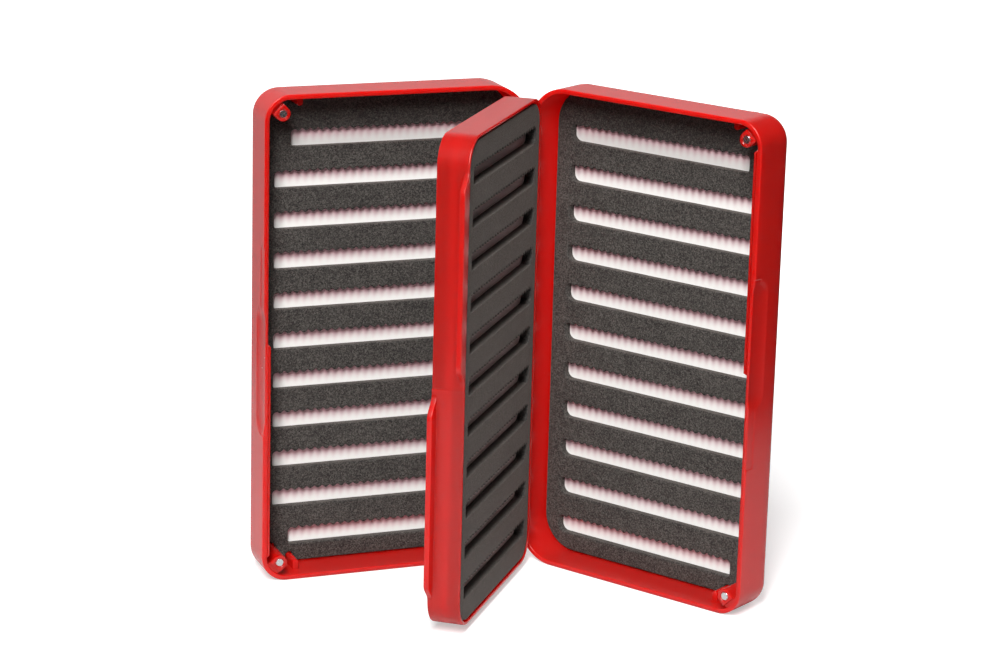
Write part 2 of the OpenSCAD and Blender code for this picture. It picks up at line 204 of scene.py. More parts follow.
def liner(first, pitch, low, high, white, shadowPink, turn=0.0, start=0.0, toothShadow=0.0, swing=0.0):
    # white plastic with painted shade: pinker and darker under the upper side of each slot, where the foam's edge
    # shades it and the red behind it shines through, with painted shadows of the foam's teeth as soft upright streaks
    def build(graph, coords):
        cloud = graph.noise(coords, 90.0, 3.0)
        grain = graph.noise(coords, 1500.0, 2.0)
        z = Value(graph, graph.node("ShaderNodeSeparateXYZ", {}, {0: coords}).socket.node.outputs[2])
        # u, the way along the slots, counted in teeth
        along = Vector((math.cos(math.radians(turn)), math.sin(math.radians(turn)), 0))
        u = graph.node("ShaderNodeVectorMath", {"operation": "DOT_PRODUCT"}, {0: coords, 1: tuple(along)}, out=1)
        teeth = (u * 1000 - along.dot(openBox["hinge"]) * 1000 - start) / tooth["pitch"]
        # painted tooth shadows along the slot: 0 in the light that passes between the teeth, 1 in a tooth's shadow
        toothShade = 0.5 - (teeth * (2 * math.pi)).math("COSINE") * 0.5
        phase = ((z * 1000 - first) / pitch).math("FRACT") * pitch
        # painted shadow under the slot's upper side: 0 low in the slot, rising to 1 near its top, its edge toothed by
        # the swing
        rise = ((phase + toothShade * swing - low) / (high - low)).math("MAXIMUM", 0.0).math("MINIMUM", 1.0)
        upper = rise * rise
        plain = graph.blend(cloud, (*(c * 0.97 for c in white), 1), (*white, 1))
        # painted shade: the liner turns pink and darker towards the slot's upper side
        shadowTinted = graph.blend(upper, plain, (*shadowPink, 1))
        return {
            # the painted tooth shadows darken the shaded upper part in upright streaks
            "Base Color": graph.blend(upper * toothShade * toothShadow, shadowTinted, (0.0, 0.0, 0.0, 1)),
            "Roughness": grain * 0.12 + 0.42,
            "Specular IOR Level": 0.3,
            "Normal": bump(graph, grain, 0.06, 0.0001),
        }
    return build


def metal(colour, rough, scale):
    def build(graph, coords):
        wear = graph.noise(coords, scale, 3.0)
        return {
            "Base Color": graph.blend(wear, (*colour, 1), (*(c * 0.86 for c in colour), 1)),
            "Metallic": 1.0,
            "Roughness": wear * 0.12 + rough,
            "Normal": bump(graph, wear, 0.05, 0.0001),
        }
    return build


# the teeth along the upper side of each slot
tooth = {"pitch": 3.14, "depth": 0.9, "leafDepth": 1.3}
# painted shade in the shells' slots: the pink stands for the shadow under each slot's upper side, and the tooth
# shadow and swing stand for the shadows of the teeth
slotShade = {"first": 9.1, "pitch": 15.78, "low": 0.7, "high": 5.2, "white": (0.95, 0.925, 0.895),
             "shadowPink": (0.80, 0.47, 0.51), "toothShadow": 0.16, "swing": 0.7}
finishes = {
    "plastic": material("redPlastic", redPlastic),
    "shellFoam": material("shellFoam", cellFoam((0.006, 0.005, 0.005), (0.112, 0.101, 0.091), 2600.0, 0.50)),
    "leafFoam": material("leafFoam", cellFoam((0.022, 0.020, 0.019), (0.095, 0.087, 0.080), 2300.0, 0.50)),
    "rightLiner": material("rightLiner", liner(turn=openBox["rightTurn"], start=53.0, **slotShade)),
    "leftLiner": material("leftLiner", liner(turn=180.0, start=53.8, **slotShade)),
    # painted shade: the leaf's liner is the same white plastic, painted darker and pinker all over for the deep shade
    # in its narrow slots
    "leafLiner": material("leafLiner", liner(13.7, 15.6, 1.0, 3.2, (0.72, 0.61, 0.59), (0.42, 0.30, 0.30))),
    "magnet": material("magnetPlating", metal((0.80, 0.80, 0.81), 0.20, 900.0)),
    "pin": material("pinSteel", metal((0.62, 0.62, 0.63), 0.22, 1200.0)),
}
print("materials made")


# closed loops, joined into a skin
def arc(centre, radius, start, end, steps):
    # points of an arc, with its two ends
    made = []
    for i in range(steps + 1):
        a = math.radians(start + (end - start) * i / steps)
        made.append((centre[0] + radius * math.cos(a), centre[1] + radius * math.sin(a)))
    return made


def between(start, end, step):
    # evenly spaced numbers after start and before end
    count = max(1, round(abs(end - start) / step))
    return [start + (end - start) * i / count for i in range(1, count)]


def skin(loops, closedEnds=True):
    # loops of equal length become a closed mesh; the first loop's side is the cap that faces backwards
    mesh = bmesh.new()
    rings = [[mesh.verts.new(p) for p in loop] for loop in loops]
    for a, b in zip(rings, rings[1:]):
        for i in range(len(a)):
            j = (i + 1) % len(a)
            mesh.faces.new((a[i], a[j], b[j], b[i]))
    if closedEnds:
        mesh.faces.new(rings[0][::-1])
        mesh.faces.new(rings[-1])
    bmesh.ops.remove_doubles(mesh, verts=mesh.verts, dist=0.0008)
    bmesh.ops.recalc_face_normals(mesh, faces=mesh.faces)
    return mesh


def asObject(mesh, name="work"):
    data = bpy.data.meshes.new(name)
    mesh.to_mesh(data)
    mesh.free()
    made = bpy.data.objects.new(name, data)
    bpy.context.scene.collection.objects.link(made)
    return made


def evaluated(thing):
    # the object's mesh with its modifiers applied; the object itself goes away
    graph = bpy.context.evaluated_depsgraph_get()
    data = bpy.data.meshes.new_from_object(thing.evaluated_get(graph))
    bpy.data.objects.remove(thing, do_unlink=True)
    return data


def carve(target, tool, operation):
    cut = target.modifiers.new("cut", "BOOLEAN")
    cut.operation = operation
    cut.solver = "EXACT"
    cut.object = tool
    graph = bpy.context.evaluated_depsgraph_get()
    data = bpy.data.meshes.new_from_object(target.evaluated_get(graph))
    target.modifiers.remove(cut)
    target.data = data
    bpy.data.objects.remove(tool, do_unlink=True)


def together(meshes):
    # several separate closed meshes in one
    whole = bmesh.new()
    for mesh in meshes:
        data = bpy.data.meshes.new("part")
        mesh.to_mesh(data)
        mesh.free()
        whole.from_mesh(data)
        bpy.data.meshes.remove(data)
    return whole


def spun(profile, steps=48):
    # a closed body of revolution about the z axis from (radius, z) points
    loops = []
    for r, z in profile:
        loops.append([(r * math.cos(2 * math.pi * i / steps), r * math.sin(2 * math.pi * i / steps), z)
                      for i in range(steps)])
    return skin(loops)


def piece(name, data, place, body, finish, replaced, sharp=32, weighted=True):
    # the finished mesh goes to its place in metres, at the model's origin
    data.transform(place)
    if place.determinant() < 0:
        data.flip_normals()
    for face in data.polygons:
        face.use_smooth = True
    data.set_sharp_from_angle(angle=math.radians(sharp))
    made = bpy.data.objects.new(name, data)
    bpy.context.scene.collection.objects.link(made)
    if weighted:
        tidy = made.modifiers.new("normals", "WEIGHTED_NORMAL")
        tidy.keep_sharp = True
        data = evaluated(made)
        made = bpy.data.objects.new(name, data)
        bpy.context.scene.collection.objects.link(made)
    data.materials.clear()
    data.materials.append(finishes[finish])
    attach(made, body)
    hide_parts(*replaced)
    return made


# The hinge: two groups of three knuckles on one line, the left shell's lowest
hinge = {
    "pin": 1.0, "bore": 1.03, "knuckle": 2.5, "chamfer": 0.3, "relief": 2.85,
    "length": 8.0, "gap": 0.3, "inset": 42.0, "count": 3,
}
hinge["step"] = hinge["length"] + hinge["gap"]
hinge["span"] = hinge["count"] * hinge["step"] - hinge["gap"]


def knuckleStart(group, index):
    middle = hinge["inset"] if group == "lower" else openBox["height"] - hinge["inset"]
    return middle - hinge["span"] / 2 + index * hinge["step"]


def knuckle(group, index):
    z, r, c = knuckleStart(group, index), hinge["knuckle"], hinge["chamfer"]
    top = z + hinge["length"]
    return spun([(r - c, z), (r, z + c), (r, top - c), (r - c, top)])


def knuckleRoom(group, index):
    z, r = knuckleStart(group, index) - hinge["gap"], hinge["relief"]
    return spun([(r, z), (r, z + hinge["length"] + 2 * hinge["gap"])])


def bores():
    made = []
    for group in ("lower", "upper"):
        z = knuckleStart(group, 0) - hinge["gap"]
        made.append(spun([(hinge["bore"], z), (hinge["bore"], z + hinge["span"] + 2 * hinge["gap"])], 40))
    return together(made)


# one shell: a shallow tray, drawn as the right one
shell = {
    "width": 105.0, "depth": 20.5, "corner": 10.0, "hingeCorner": 16.0, "back": 5.0,
    "wall": 1.8, "floor": 18.6, "inner": 0.8, "rim": 0.1,
    "rimEdge": 0.45, "rimInner": 0.25,
    "lipThick": 0.65, "lipGap": 0.15, "lipRise": 0.9, "lipRoot": 6.0, "lipEase": 0.9,
    "arcSteps": 18, "alongFree": 1.0, "alongRest": 6.0,
}
scoop = {
    "low": 81.5, "high": 131.0, "middle": 3.4, "half": 6.0, "depth": 0.95, "round": 5.6,
    "reliefLow": 58.2, "reliefHigh": 131.6, "reliefReach": 4.4, "reliefDepth": 0.22, "reliefEase": 0.35,
}


def smooth(t):
    t = min(max(t, 0.0), 1.0)
    return t * t * (3 - 2 * t)


def scoopDepth(n, z):
    # how far the free wall is pressed in at n and z
    along = 0.0
    if z < scoop["low"] + scoop["round"]:
        along = (scoop["low"] + scoop["round"] - z) / scoop["round"]
    elif z > scoop["high"] - scoop["round"]:
        along = (z - scoop["high"] + scoop["round"]) / scoop["round"]
    across = (n - scoop["middle"]) / scoop["half"]
    dip = scoop["depth"] * max(0.0, 1 - across * across - along * along)
    ease = scoop["reliefEase"]
    inside = smooth((z - scoop["reliefLow"]) / ease) * smooth((scoop["reliefHigh"] - z) / ease)
    inside *= smooth((scoop["reliefReach"] - n) / 0.6 + 0.5)
    return max(dip, scoop["reliefDepth"] * inside)


def shellOutline():
    # (u, z, normal u, normal z) round the tray, with close points up the free wall
    w, h, r, q = shell["width"], openBox["height"], shell["corner"], shell["hingeCorner"]
    made = [(0, z, -1, 0) for z in between(h - q, q, shell["alongRest"])]
    corners = [((q, q), q, 180), ((w - r, r), r, 270), ((w - r, h - r), r, 0), ((q, h - q), q, 90)]
    for k, (centre, radius, start) in enumerate(corners):
        for i in range(shell["arcSteps"] + 1):
            a = math.radians(start + 90 * i / shell["arcSteps"])
            made.append((centre[0] + radius * math.cos(a), centre[1] + radius * math.sin(a),
                         math.cos(a), math.sin(a)))
        if k == 0:
            made += [(u, 0, 0, -1) for u in between(q, w - r, shell["alongRest"])]
        elif k == 1:
            lines = sorted(between(r, h - r, shell["alongFree"])
                           + [scoop["reliefLow"] + scoop["reliefEase"] * s for s in (0, 0.5, 1)]
                           + [scoop["reliefHigh"] - scoop["reliefEase"] * s for s in (0, 0.5, 1)]
                           + [h / 2 + shell["lipGap"] + shell["lipEase"] * s for s in (0, 0.25, 0.5, 0.75, 1)])
            made += [(w, z, 1, 0) for z in lines]
        elif k == 2:
            made += [(u, h, 0, 1) for u in between(w - r, q, shell["alongRest"])]
    return made


def shellSection():
    # (inset, n) without and with the lip, from the tray's floor over the rim to its back
    wall, rim, root = shell["wall"], shell["rim"], shell["lipRoot"]
    made = []
    for x, y in arc((wall + shell["inner"], shell["floor"] - shell["inner"]), shell["inner"], 90, 180, 4):
        made.append(((x, y), (x, y)))
    made += [((wall, n), (wall, n)) for n in (14.0, 10.0, root + 0.6)]
    outside = wall + shell["lipGap"]
    inside = outside + shell["lipThick"]
    top = rim - shell["lipRise"] - 0.1
    edge = shell["rimInner"]
    plain = [(wall, root), (wall, 3.0), (wall, rim + edge)]
    lipped = [(inside, root), (inside, 3.0), (inside, top + 0.2)]
    plain += arc((wall - edge, rim + edge), edge, 0, -90, 4)[1:]
    lipped += [(inside - 0.06, top + 0.06), (inside - 0.2, top), (outside + 0.2, top), (outside, top + 0.2)]
    plain += [(wall - edge - 0.04, rim), (wall - edge - 0.08, rim)]
    lipped += [(outside, rim), (wall - edge - 0.08, rim)]
    made += list(zip(plain, lipped))
    edge = shell["rimEdge"]
    outer = [(1.0, rim)] + arc((edge, rim + edge), edge, -90, -180, 5)
    outer += [(0, n) for n in (0.9, 1.4, 2, 2.6, 3.2, 3.7, 4.1, 4.4, 4.8, 5.4, 6, 6.6, 7.2, 7.8, 8.3, 8.7,
                               9.0, 9.3, 9.6, 10, 11, 13)]
    centre = (shell["back"], shell["depth"] - shell["back"])
    outer += arc(centre, shell["back"], 180, 90, 10)
    made += [(p, p) for p in outer]
    return made


def trayMesh():
    outline = shellOutline()
    low = openBox["height"] / 2 + shell["lipGap"]
    high = openBox["height"] - shell["corner"]
    loops = []
    for k, (plain, lipped) in enumerate(shellSection()):
        loop = []
        for u, z, nu, nz in outline:
            lip = 0.0
            if nu == 1 and low <= z <= high:
                lip = min((z - low) / shell["lipEase"], (high - z) / shell["lipEase"], 1.0)
            inset = plain[0] + (lipped[0] - plain[0]) * lip
            n = plain[1] + (lipped[1] - plain[1]) * lip
            press = 0.0
            if nu > 0.999 and plain[0] < 1.2 and n < 15:
                press = scoopDepth(n, z) * (1 - max(0.0, plain[0] - shell["rimEdge"]) / (1.2 - shell["rimEdge"]))
            loop.append((u - nu * (inset + press), n, z - nz * inset))
        loops.append(loop)
    return skin(loops)


boss = {
    "inset": 7.2, "radius": 2.8, "flat": 2.6, "reach": 5.14, "foot": 4.4, "drop": 0.5, "shoulder": 1.5,
    "edge": 0.18, "pocket": 1.53, "mouth": 1.95, "chamfer": 0.42, "pocketDepth": 2.3, "steps": 56,
}
rib = {"inset": 15.4, "thick": 2.4, "reach": 3.8, "depth": 6.5, "edge": 0.25}


def bossMesh(upper):
    # a round nose with straight flanks towards the corner, and the magnet's pocket in its cap
    diagonal = math.radians(45 if upper else -45)
    z = openBox["height"] - boss["inset"] if upper else boss["inset"]
    turns = sorted({2 * math.pi * i / boss["steps"] for i in range(boss["steps"])}
                   | {math.atan2(s * boss["radius"], reach) % (2 * math.pi)
                      for s in (-1, 1) for reach in (boss["flat"], boss["reach"], boss["foot"])})

    def radius(a, reach):
        side, along = abs(math.sin(a)), math.cos(a)
        best = boss["radius"] if along <= 0 else boss["radius"] / max(side, 1e-6)
        return min(best, reach / along) if along > 1e-6 else best

    def loop(n, reach=None, circle=None, inset=0.0):
        made = []
        for a in turns:
            r = circle if circle else radius(a, reach) - inset
            made.append((shell["width"] - boss["inset"] + r * math.cos(a + diagonal), n,
                         z + r * math.sin(a + diagonal)))
        return made

    drop, edge = boss["drop"], boss["edge"]
    return skin([
        loop(shell["floor"] + 0.4, boss["foot"]),
        loop(14.0, boss["reach"]),
        loop(boss["shoulder"], boss["reach"]),
        loop(boss["shoulder"], boss["flat"]),
        loop(drop + edge, boss["flat"]),
        loop(drop + edge * 0.3, boss["flat"], inset=edge * 0.3),
        loop(drop, boss["flat"], inset=edge),
        loop(drop, circle=boss["mouth"]),
        loop(drop + boss["chamfer"], circle=boss["pocket"]),
        loop(drop + boss["pocketDepth"], circle=boss["pocket"]),
    ])


def ribMesh(upper):
    half = rib["thick"] / 2
    reach = shell["wall"] + rib["reach"] - half
    outline = [(-half, 0.6)] + [(half * math.cos(a), reach + half * math.sin(a))
                                for a in [math.pi * (1 - i / 12) for i in range(13)]] + [(half, 0.6)]
    loops = []
    for n, inset in ((shell["floor"] + 0.4, 0), (rib["depth"] + rib["edge"], 0),
                     (rib["depth"] + 0.08, rib["edge"] * 0.3), (rib["depth"], rib["edge"])):
        loop = []
        for u, t in outline:
            du = u * (1 - inset / half)
            dt = t if t < reach else reach + (t - reach) * (1 - inset / half)
            z = openBox["height"] - dt if upper else dt
            loop.append((shell["width"] - rib["inset"] + du, n, z))
        loops.append(loop)
    return skin(loops)


def shellMesh():
    made = asObject(trayMesh())
    for group in ("lower", "upper"):
        for k in (1, 2):
            carve(made, asObject(knuckleRoom(group, k)), "DIFFERENCE")
    added = [bossMesh(True), bossMesh(False), ribMesh(True), ribMesh(False)]
    added += [knuckle("lower", 0), knuckle("upper", 0)]
    carve(made, asObject(together(added)), "UNION")
    carve(made, asObject(bores()), "DIFFERENCE")
    data = made.data
    bpy.data.objects.remove(made, do_unlink=True)
    return data


shellData = shellMesh()
piece("rightShell", shellData.copy(), places["rightShell"], "right_shell", "plastic", ["right_shell"])
piece("leftShell", shellData, places["leftShell"], "left_shell", "plastic", ["left_shell"])
print("shells made")

# the leaf
leaf = {
    "low": 2.7, "high": 187.3, "hinge": 5.0, "free": 96.3, "half": 6.2,
    "hingeRound": 10.0, "freeRound": 11.5, "rim": 1.1, "pocket": 4.8,
    "edge": 0.4, "inner": 0.15, "draft": 0.5, "steps": 16, "along": 0.8, "rest": 6.0,
    "tabReach": 5.0, "tabThick": 2.0, "tabLow": 97.4, "tabHigh": 176.0, "tabEase": 7.5, "tabEdge": 0.4,
    "tabRoot": 0.3,
    "arm": 3.0,
}


def leafOutline():
    x0, x1, z0, z1 = leaf["hinge"], leaf["free"], leaf["low"], leaf["high"]
    a, b = leaf["hingeRound"], leaf["freeRound"]
    middle = openBox["height"] / 2
    made = [(x0, z, -1, 0) for z in between(z1 - a, z0 + a, leaf["rest"])]
    corners = [((x0 + a, z0 + a), a, 180), ((x1 - b, z0 + b), b, 270),
               ((x1 - b, z1 - b), b, 0), ((x0 + a, z1 - a), a, 90)]
    for k, (centre, r, start) in enumerate(corners):
        for i in range(leaf["steps"] + 1):
            t = math.radians(start + 90 * i / leaf["steps"])
            made.append((centre[0] + r * math.cos(t), centre[1] + r * math.sin(t), math.cos(t), math.sin(t)))
        if k == 0:
            made += [(u, z0, 0, -1) for u in between(x0 + a, x1 - b, leaf["rest"])]
        elif k == 1:
            lines = [z for z in between(z0 + b, z1 - b, leaf["along"]) if abs(z - middle) > 0.3]
            made += [(x1, z, 1, 0) for z in sorted(lines + [middle - 0.03, middle + 0.03])]
        elif k == 2:
            made += [(u, z1, 0, 1) for u in between(x1 - b, x0 + a, leaf["rest"])]
    return made


def tabSwell(z):
    low, high, ease = leaf["tabLow"], leaf["tabHigh"], leaf["tabEase"]
    t = min((z - low) / ease, (high - z) / ease, 1.0)
    return 0.0 if t <= 0 else (1 - math.cos(math.pi * t)) / 2


def leafSection():
    # (inset, n) of the plain edge and of the tab, from the right pocket over the edge to the left one
    half, edge, inner, tab = leaf["half"], leaf["edge"], leaf["inner"], leaf["tabThick"]
    web = half - leaf["pocket"]
    rim = [(leaf["rim"], web), (leaf["rim"], half - inner), (leaf["rim"] - inner * 0.3, half - inner * 0.3),
           (leaf["rim"] - inner, half)]
    right = [(p, p) for p in rim]
    reach, turn = -leaf["tabReach"], leaf["tabEdge"]
    for p in arc((edge, half - edge), edge, 90, 180, 4):
        right.append((p, (p[0] + reach, p[1])))
    right.append(((0, half - 0.9), (reach, half - 0.9)))
    under = half - tab
    for k, (x, y) in enumerate(arc((reach + turn, under + turn), turn, 180, 270, 4)):
        right.append(((0, under + 0.36 - 0.05 * k), (x, y)))
    root = leaf["tabRoot"]
    for k, (x, y) in enumerate(arc((-root, under - root), root, 90, 0, 3)):
        right.append(((0, under + 0.06 - 0.04 * k), (x, y)))
    made = [(plain, tabbed, (0, 0)) for plain, tabbed in right]
    made += [((0, n), (0, n), None) for n in (2.6, 1.3, 0, -1.3, -2.6)]
    made += [((x, -y), (0, 0), (u, -v)) for (x, y), (u, v) in right[::-1]]
    return made


def leafMesh():
    outline = leafOutline()
    middle = openBox["height"] / 2
    half = leaf["half"]
    loops = []
    for plain, right, left in leafSection():
        loop = []
        for u, z, nu, nz in outline:
            upper = z > middle
            inset, n = plain
            if nu == 1 and left is not None:
                ours = left if n < 0 else right
                swell = tabSwell(openBox["height"] - z) if n < 0 else tabSwell(z)
                inset += (ours[0] - inset) * swell
                n += (ours[1] - n) * swell
            lean = (half - n if upper else half + n) / (2 * half) * leaf["draft"] * max(nu, 0.0) ** 4
            if plain[0] > leaf["edge"]:
                lean = 0.0
            loop.append((u - nu * (inset + lean), n, z - nz * inset))
        loops.append(loop)
    made = asObject(skin(loops))
    added = []
    for group in ("lower", "upper"):
        z = knuckleStart(group, 1)
        high = leaf["arm"] / 2
        loops = []
        for u in (0.0, leaf["hinge"] + leaf["rim"] * 0.6):
            loops.append([(u, -high, z + 0.02), (u, high, z + 0.02),
                          (u, high, z + hinge["length"] - 0.02), (u, -high, z + hinge["length"] - 0.02)])
        arm = asObject(skin(loops))
        carve(arm, asObject(knuckle(group, 1)), "UNION")
        whole = bmesh.new()
        whole.from_mesh(arm.data)
        bpy.data.objects.remove(arm, do_unlink=True)
        added.append(whole)
    carve(made, asObject(together(added)), "UNION")
    carve(made, asObject(bores()), "DIFFERENCE")
    data = made.data
    bpy.data.objects.remove(made, do_unlink=True)
    return data


piece("leafFrame", leafMesh(), places["leafRight"], "leaf", "plastic", ["leaf_frame"])
print("leaf made")

# foam pads, drawn flat: x is u, y is z, and the pad goes down from its face
pad = {"slots": 11, "height": 6.6, "spacing": 0.36}
shellPad = {
    "inset": 2.22, "corner": 7.78, "hingeCorner": 13.78, "face": 15.1, "thick": 3.0, "first": 9.1, "last": 16.5,
    "left": 9.0, "right": 96.6, "rightShort": 90.2, "round": 1.6, "hingeRound": 2.8, "gap": 0.3, "edge": 0.6,
}
leafPad = {
    "inset": 1.9, "face": 0.3, "thick": 4.0, "end": 13.7, "left": 11.5, "right": 89.8,
    "round": 0.9, "hingeRound": 2.8, "edge": 0.3,
}


def slottedPadTree():
    tree = bpy.data.node_groups.new("slottedPad", "GeometryNodeTree")
    tree.interface.new_socket("Geometry", in_out="OUTPUT", socket_type="NodeSocketGeometry")
    tree.interface.new_socket("Outline", in_out="INPUT", socket_type="NodeSocketGeometry")
    inputs = {}
    for name, kind in (("Slots", "Int"), ("First Slot", "Float"), ("Pitch", "Float"), ("Left", "Float"),
                       ("Right", "Float"), ("Right Short", "Float"), ("Slot Height", "Float"),
                       ("Round", "Float"), ("Hinge Round", "Float"), ("Tooth", "Float"),
                       ("Tooth Depth", "Float"), ("Thickness", "Float"), ("Edge", "Float"),
                       ("Spacing", "Float"), ("Finish", "Material")):
        inputs[name] = tree.interface.new_socket(name, in_out="INPUT", socket_type="NodeSocket" + kind)
    graph = Graph(tree)
    given = tree.nodes.new("NodeGroupInput")
    take = {s.name: Value(graph, s) for s in given.outputs if s.name}

    def vector(x=0.0, y=0.0, z=0.0):
        return graph.node("ShaderNodeCombineXYZ", {}, {"X": x, "Y": y, "Z": z})

    def place():
        spot = graph.node("GeometryNodeInputPosition")
        split = graph.node("ShaderNodeSeparateXYZ", {}, {0: spot})
        return [Value(graph, s) for s in split.socket.node.outputs]

    def slotCurve(right):
        width = right - take["Left"]
        high = take["Slot Height"]
        box = graph.node("GeometryNodeCurvePrimitiveQuadrilateral", {"mode": "RECTANGLE"},
                         {"Width": width, "Height": high})
        x, y, _ = place()
        atHinge = x.math("LESS_THAN", 0.0) * y.math("LESS_THAN", 0.0)
        radius = take["Round"] + atHinge * (take["Hinge Round"] - take["Round"])
        rounded = graph.node("GeometryNodeFilletCurve", {"mode": "POLY"},
                             {"Curve": box, "Count": 5, "Radius": radius, "Limit Radius": True})
        close = graph.node("GeometryNodeResampleCurve", {"mode": "LENGTH"},
                           {"Curve": rounded, "Length": take["Spacing"]})
        x, y, _ = place()
        wave = (x / take["Tooth"] * math.pi).math("COSINE").math("ABSOLUTE")
        soft = (x / take["Tooth"] * (2 * math.pi)).math("COSINE") * 0.5 + 0.5
        bite = (wave * 0.45 + soft * 0.55 - 0.5) * take["Tooth Depth"]
        inner = x.math("ABSOLUTE").math("LESS_THAN", width * 0.5 - take["Round"] * 1.1)
        top = y.math("GREATER_THAN", high * 0.5 - 0.02) * inner
        toothed = graph.node("GeometryNodeSetPosition", {},
                             {"Geometry": close, "Offset": vector(y=top * bite * -1.0)})
        shift = vector(x=(right + take["Left"]) * 0.5)
        return graph.node("GeometryNodeTransform", {}, {"Geometry": toothed, "Translation": shift})

    row = graph.node("GeometryNodeMeshLine", {"mode": "OFFSET", "count_mode": "TOTAL"}, {
        "Count": take["Slots"], "Start Location": vector(y=take["First Slot"] + take["Slot Height"] * 0.5),
        "Offset": vector(y=take["Pitch"])})
    index = graph.node("GeometryNodeInputIndex")
    first = index.math("LESS_THAN", 0.5)
    last = index.math("GREATER_THAN", take["Slots"] - 1.5)
    ends = (first + last).math("GREATER_THAN", 0.5)
    slots = []
    for curve, where in ((slotCurve(take["Right Short"]), ends), (slotCurve(take["Right"]), 1 - ends)):
        slots.append(graph.node("GeometryNodeInstanceOnPoints", {},
                                {"Points": row, "Selection": where, "Instance": curve}))
    allSlots = graph.node("GeometryNodeJoinGeometry", {}, {"Geometry": slots})
    real = graph.node("GeometryNodeRealizeInstances", {}, {"Geometry": allSlots})
    back = graph.node("GeometryNodeReverseCurve", {}, {"Curve": real})
    rimLine = graph.node("GeometryNodeMeshToCurve", {}, {"Mesh": take["Outline"]})
    lines = graph.node("GeometryNodeJoinGeometry", {}, {"Geometry": [rimLine, back]})
    upright = graph.node("GeometryNodeSetCurveNormal", {"mode": "Z_UP"}, {"Curve": lines})
    # the pad's edge seen in section: a rounded top corner, then straight down
    edge = take["Edge"]
    turn = graph.node("GeometryNodeCurvePrimitiveBezierSegment", {}, {
        "Resolution": 3, "Start": vector(x=edge * -1.0), "Start Handle": vector(x=edge * -0.45),
        "End Handle": vector(y=edge * 0.45), "End": vector(y=edge)})
    down = graph.node("GeometryNodeCurvePrimitiveLine", {},
                      {"Start": vector(y=edge), "End": vector(y=take["Thickness"])})
    profile = graph.node("GeometryNodeJoinGeometry", {}, {"Geometry": [turn, down]})
    sides = graph.node("GeometryNodeCurveToMesh", {}, {"Curve": upright, "Profile Curve": profile})
    shells = [sides]
    for level, flip in ((0.0, False), (take["Thickness"] * -1.0, True)):
        z = place()[2]
        here = (z - level).math("ABSOLUTE").math("LESS_THAN", 0.0005)
        loop = graph.node("GeometryNodeMeshToCurve", {}, {"Mesh": sides, "Selection": here})
        face = graph.node("GeometryNodeFillCurve", {"mode": "TRIANGLES"}, {"Curve": loop})
        face = graph.node("GeometryNodeTransform", {}, {"Geometry": face, "Translation": vector(z=level)})
        shells.append(graph.node("GeometryNodeFlipFaces", {}, {"Mesh": face}) if flip else face)
    whole = graph.node("GeometryNodeJoinGeometry", {}, {"Geometry": shells})
    merged = graph.node("GeometryNodeMergeByDistance", {}, {"Geometry": whole, "Distance": 0.002})
    loose = graph.node("GeometryNodeRealizeInstances", {}, {"Geometry": merged})
    done = graph.node("GeometryNodeSetMaterial", {}, {"Geometry": loose, "Material": take["Finish"]})
    tree.nodes.new("NodeGroupOutput")
    tree.links.new(done.socket, tree.nodes[-1].inputs[0])
    return tree, inputs


padTree, padInputs = slottedPadTree()


def outlineLoop(points):
    # an outline as edges only, counterclockwise, for the node tree to fill
    data = bpy.data.meshes.new("outline")
    data.from_pydata([(x, y, 0) for x, y in points], [(i, (i + 1) % len(points)) for i in range(len(points))], [])
    made = bpy.data.objects.new("outline", data)
    bpy.context.scene.collection.objects.link(made)
    return made


def slottedPad(name, outline, sizes, face, place, body, finish, replaced):
    flat = outlineLoop(outline)
    nodes = flat.modifiers.new("pad", "NODES")
    nodes.node_group = padTree
    for key, value in sizes.items():
        nodes[padInputs[key].identifier] = value
    nodes[padInputs["Finish"].identifier] = finishes[finish]
    data = evaluated(flat)
    # flat x, y and height become u, z and depth from the rim plane
    stand = Matrix(((1, 0, 0, 0), (0, 0, -1, face), (0, 1, 0, 0), (0, 0, 0, 1)))
    data.transform(stand)
    made = piece(name, data, place, body, finish, replaced, sharp=75, weighted=True)
    return made


def shellPadOutline():
    # a rounded rectangle with room for the bosses and the ribs
    w, h, i, r = shell["width"], openBox["height"], shellPad["inset"], shellPad["corner"]
    gap, q = shellPad["gap"], shellPad["hingeCorner"]
    points = arc((i + q, i + q), q, 180, 270, 14)
    reach = shell["wall"] + rib["reach"] + gap
    half = rib["thick"] / 2 + gap
    middle = w - rib["inset"]
    nose = arc((middle, reach - half), half, 180, 0, 10)
    lower = [(middle - half, i)] + nose + [(middle + half, i)]
    # the boss: a round nose between two flanks that meet the outline at the corner
    size = boss["radius"] + gap
    spot = (w - boss["inset"], boss["inset"])
    centre = (w - i - r, i + r)
    along, side = Vector((1, -1)).normalized(), Vector((1, 1)).normalized()
    ends = []
    for sign in (-1, 1):
        start = Vector(spot) + side * size * sign - Vector(centre)
        b = start.dot(along)
        ends.append(Vector(centre) + start + along * (-b + math.sqrt(b * b - start.length_squared + r * r)))
    first, second = ends
    a0 = math.degrees(math.atan2(first.y - centre[1], first.x - centre[0])) % 360
    a1 = math.degrees(math.atan2(second.y - centre[1], second.x - centre[0])) % 360
    corner = arc(centre, r, 270, a0, 4) + arc(spot, size, 225, 45, 14) + arc(centre, r, a1, 360, 4)
    points += lower + corner
    points += [(x, h - y) for x, y in reversed(corner)] + [(x, h - y) for x, y in reversed(lower)]
    points += arc((i + q, h - i - q), q, 90, 180, 14)
    return points


def leafPadOutline():
    i = leafPad["inset"]
    x0, x1, z0, z1 = leaf["hinge"] + i, leaf["free"] - i, leaf["low"] + i, leaf["high"] - i
    a, b = leaf["hingeRound"] - i, leaf["freeRound"] - i
    return (arc((x0 + a, z0 + a), a, 180, 270, 10) + arc((x1 - b, z0 + b), b, 270, 360, 14)
            + arc((x1 - b, z1 - b), b, 0, 90, 14) + arc((x0 + a, z1 - a), a, 90, 180, 10))


